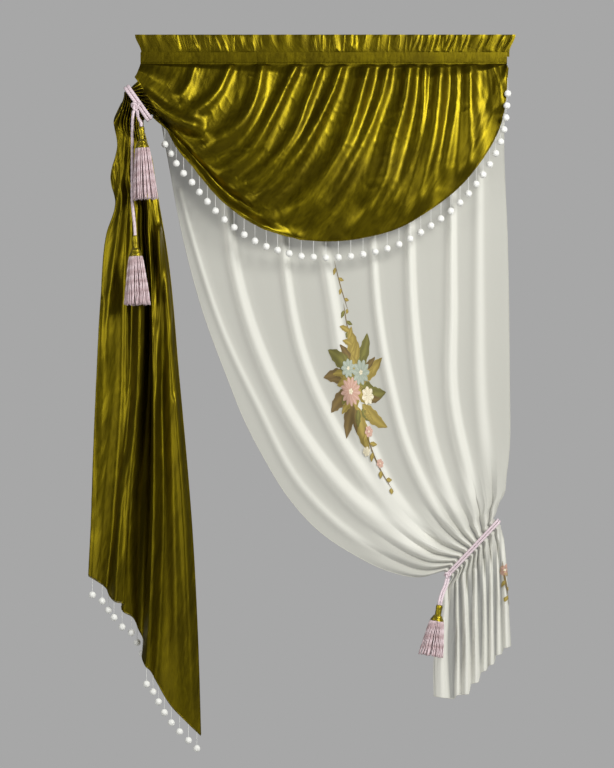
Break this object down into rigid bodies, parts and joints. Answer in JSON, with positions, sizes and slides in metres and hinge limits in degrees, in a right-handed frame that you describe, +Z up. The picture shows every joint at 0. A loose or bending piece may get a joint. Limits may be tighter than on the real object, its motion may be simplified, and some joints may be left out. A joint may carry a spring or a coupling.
{
  "type": "curtain",
  "caption": "Curtain with a satin swag and tail gathered in a cord tie, a sheer panel tied back behind it, pompom fringe and tassels.",
  "frame": {"origin": "middle of the heading's top edge", "axes": "+X to the right along the heading as seen from the room, +Y towards the window, +Z up; the front faces -Y"},
  "size_m": [1.4506, 0.2049, 2.4485],
  "materials": {
    "olive_satin": "crushed satin with a bright gloss on its folds",
    "white_voile": "sheer plain weave with a printed flower column",
    "pink_cord": "twisted rayon cord",
    "tassel_braid": "olive gold braid with a soft metallic gleam",
    "tassel_yarn": "fine dusty pink yarn",
    "white_pompom": "fuzzy off-white wool"
  },
  "bodies": {
    "root": {"heading_frill": "olive_satin", "heading_band": "olive_satin", "swag_and_tail": "olive_satin", "swag_fringe": "white_pompom", "tail_fringe": "white_pompom", "voile_panel": "white_voile", "left_tie_upper_turn": "pink_cord", "left_tie_lower_turn": "pink_cord", "left_tie_knot": "pink_cord", "left_short_cord": "pink_cord", "left_long_cord": "pink_cord", "right_tie_upper_turn": "pink_cord", "right_tie_lower_turn": "pink_cord", "right_tie_knot": "pink_cord", "right_cord_left_strand": "pink_cord", "right_cord_right_strand": "pink_cord", "upper_tassel_head": "tassel_braid", "upper_tassel_skirt": "tassel_yarn", "lower_tassel_head": "tassel_braid", "lower_tassel_skirt": "tassel_yarn", "right_tassel_head": "tassel_braid", "right_tassel_skirt": "tassel_yarn"}
  },
  "joints": []
}
